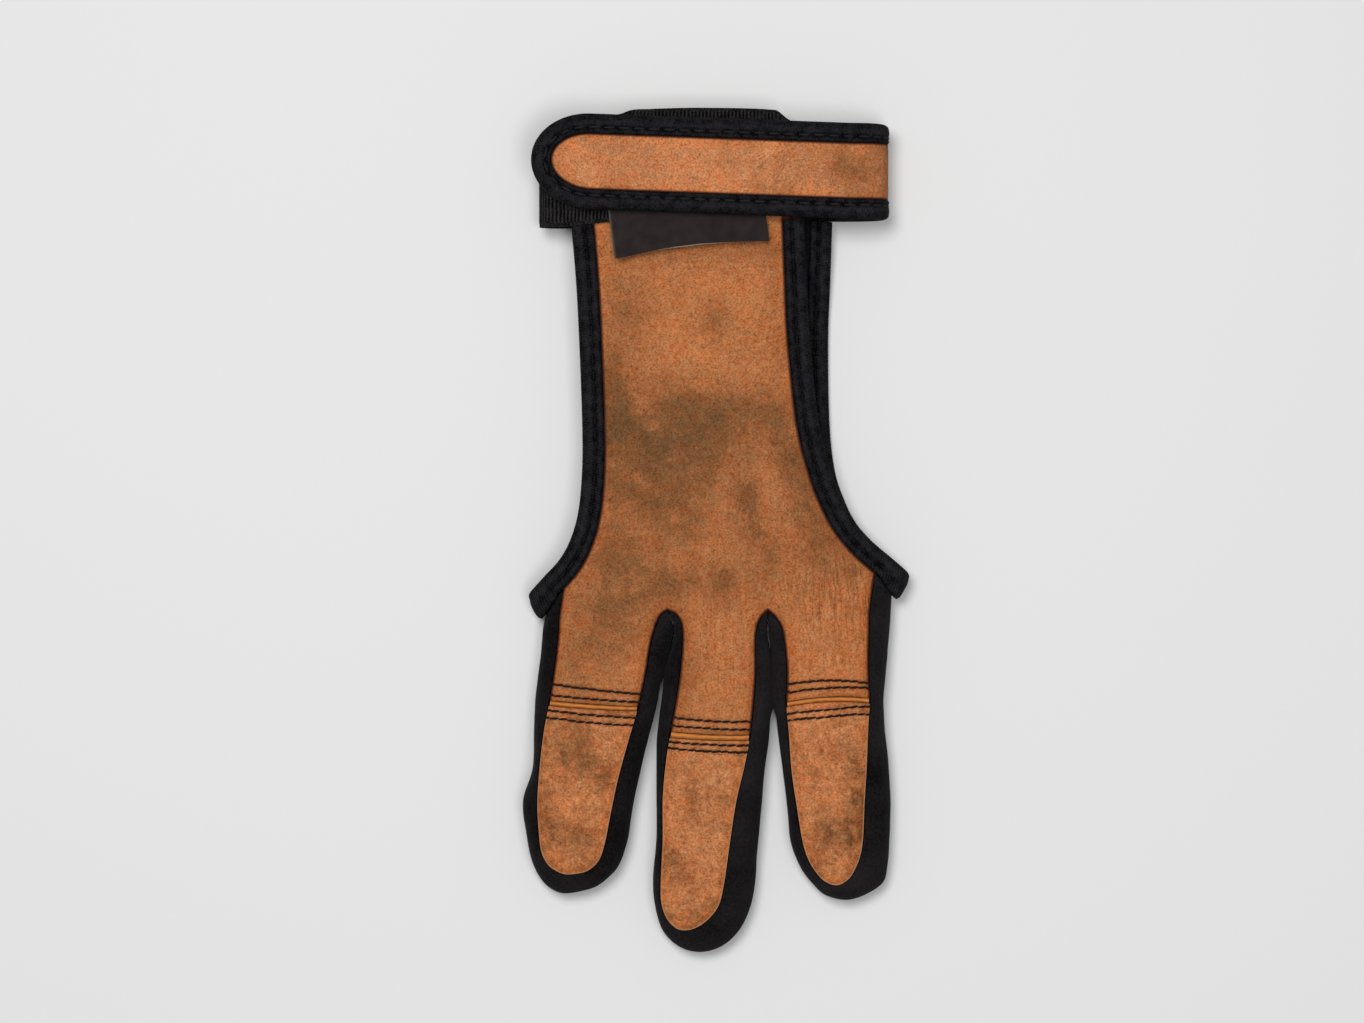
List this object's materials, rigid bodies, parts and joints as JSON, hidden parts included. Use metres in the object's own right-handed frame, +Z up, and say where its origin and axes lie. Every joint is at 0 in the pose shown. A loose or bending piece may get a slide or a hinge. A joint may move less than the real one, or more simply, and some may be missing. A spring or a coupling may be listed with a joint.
{
  "type": "archery glove",
  "caption": "Archery glove lying palm up: tan leather palm and fingertip pads, black stretch back and gussets, bound open sides and a hook-and-loop wrist strap.",
  "frame": {"origin": "middle of the glove's bounding box on the surface that it lies on", "axes": "+X across the hand towards the thumb, +Y from the fingertips to the wrist, +Z up, out of the leather palm"},
  "size_m": [0.1008, 0.22, 0.0187],
  "materials": {
    "leather": "waxed nubuck, tan with darker olive clouding, fine grain",
    "pad_leather": "matte tan leather, crinkled and rubbed darker",
    "raw_edge": "raw amber leather edge",
    "stretch_fabric": "matte black knitted stretch fabric",
    "binding_tape": "black elastic binding tape, stitched",
    "elastic_webbing": "black ribbed elastic webbing",
    "label_cloth": "smooth black woven label, plain",
    "hook_and_loop": "black hook-and-loop tape"
  },
  "bodies": {
    "root": {"palm_panel": "leather", "back_panel": "stretch_fabric", "tip_pad_ring": "pad_leather", "tip_pad_middle": "pad_leather", "tip_pad_index": "pad_leather", "joint_strip_ring": "raw_edge", "joint_strip_middle": "raw_edge", "joint_strip_index": "raw_edge", "gusset_ring": "stretch_fabric", "gusset_middle": "stretch_fabric", "gusset_index": "stretch_fabric", "heel_binding": "binding_tape", "thumb_binding": "binding_tape", "wrist_web": "elastic_webbing", "strap_leather": "leather", "strap_binding": "binding_tape", "label": "label_cloth", "hook_patch": "hook_and_loop"}
  },
  "joints": []
}
